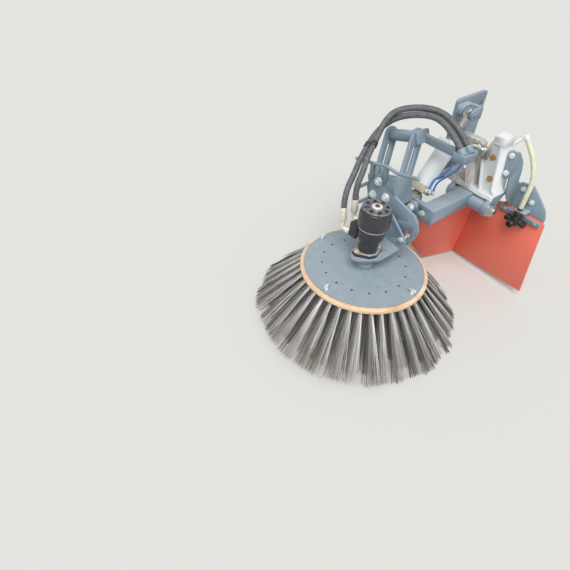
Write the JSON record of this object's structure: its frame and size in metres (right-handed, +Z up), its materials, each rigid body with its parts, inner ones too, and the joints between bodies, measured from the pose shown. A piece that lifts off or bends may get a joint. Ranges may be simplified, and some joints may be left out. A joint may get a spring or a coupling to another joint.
{
  "type": "side broom of a street sweeper truck with its arm",
  "caption": "Kerb-side broom of a street sweeper truck: wire disc brush on a hydraulic motor, tilting head, lift arm with cylinder, console, spray and orange deflector.",
  "frame": {"origin": "middle of the four bolt holes on the back face of the chassis plate", "axes": "+X to the kerb, +Y along the truck from the broom to its console, +Z up"},
  "size_m": [0.782, 1.0042, 0.7115],
  "materials": {
    "blue_paint": "satin grey-blue paint",
    "white_casting": "satin white paint",
    "brass_bolt": "yellow plating",
    "zinc": "bright zinc plating",
    "orange_sheet": "orange-red sheet",
    "black_hose": "black hose cover",
    "pale_hose": "pale water hose",
    "nozzle_brass": "worn brass",
    "nozzle_plastic": "moulded nozzle holder",
    "cylinder_paint": "pale satin paint",
    "bright_steel": "ground steel",
    "air_tube": "blue air tube",
    "motor_paint": "black paint",
    "ring_wood": "plain plywood",
    "bristle_steel": "flat wire"
  },
  "bodies": {
    "console": {"chassis_plate": "blue_paint", "console_casting": "white_casting", "casting_bolts": "brass_bolt", "hinge_pin": "zinc", "console_ports": "zinc", "guard_bracket": "blue_paint", "guard_bolts": "zinc", "deflector_backing": "blue_paint", "deflector_front": "orange_sheet", "deflector_rear": "orange_sheet", "clamp_strip": "blue_paint", "spray_nozzles": "nozzle_plastic", "nozzle_caps": "nozzle_plastic", "spray_tee": "nozzle_brass", "spray_hose": "pale_hose"},
    "arm": {"arm_beam": "blue_paint", "arm_end_plate": "blue_paint", "head_bolts": "zinc", "cylinder_bracket": "blue_paint", "fork_left": "blue_paint", "fork_right": "blue_paint", "fork_back_plate": "blue_paint", "cross_tube": "blue_paint", "quadrant_plate": "blue_paint", "quadrant_bolts": "zinc", "tilt_pin": "zinc", "hose_carrier": "blue_paint", "hose_union": "zinc", "hose_guard": "blue_paint", "hose_keeper": "blue_paint", "hoses_arm": "black_hose", "hoses_console": "black_hose"},
    "barrel": {"cylinder_barrel": "cylinder_paint", "cylinder_caps": "cylinder_paint", "air_fittings": "nozzle_brass", "air_tubes": "air_tube"},
    "rod": {"cylinder_rod": "bright_steel"},
    "motor": {"motor_bracket": "blue_paint", "motor_housing": "motor_paint", "motor_drum": "motor_paint", "motor_cap": "motor_paint", "motor_bolts": "zinc", "motor_ports": "motor_paint", "hose_ends": "zinc", "hoses_motor": "black_hose", "tilt_clamp": "zinc"},
    "broom": {"broom_plate": "blue_paint", "broom_ring": "ring_wood", "broom_hub": "bright_steel", "hook_bolts": "zinc", "bristles_outer": "bristle_steel", "bristles_middle": "bristle_steel", "bristles_inner": "bristle_steel"}
  },
  "joints": [
    {"name": "arm_lift", "type": "hinge", "parent": "console", "child": "arm", "pos_m": [0.159, -0.062, -0.161], "axis": [-1, 0, 0], "range_deg": [-3, 16], "deforming": ["hoses_console"]},
    {"name": "barrel_swing", "type": "hinge", "parent": "arm", "child": "barrel", "pos_m": [0.052, -0.25, -0.135], "axis": [-1, 0, 0], "range_deg": [-12.5, 2.5], "deforming": ["air_tubes"]},
    {"name": "rod_slide", "type": "slide", "parent": "barrel", "child": "rod", "axis": [0, 0.5769, 0.8168], "range_m": [-0.05, 0.0095]},
    {"name": "broom_tilt", "type": "hinge", "parent": "arm", "child": "motor", "pos_m": [0.072, -0.394, -0.164], "axis": [0, -1, 0], "range_deg": [-6, 12], "deforming": ["hoses_motor"]},
    {"name": "broom_spin", "type": "hinge", "parent": "motor", "child": "broom", "pos_m": [0.1, -0.52, -0.3], "axis": [0, 0.0698, 0.9976], "continuous": true}
  ],
  "couplings": [
    {"joint": "barrel_swing", "follows": "arm_lift", "ratio": -0.7625},
    {"joint": "rod_slide", "follows": "arm_lift", "m_per_rad": -0.176}
  ]
}
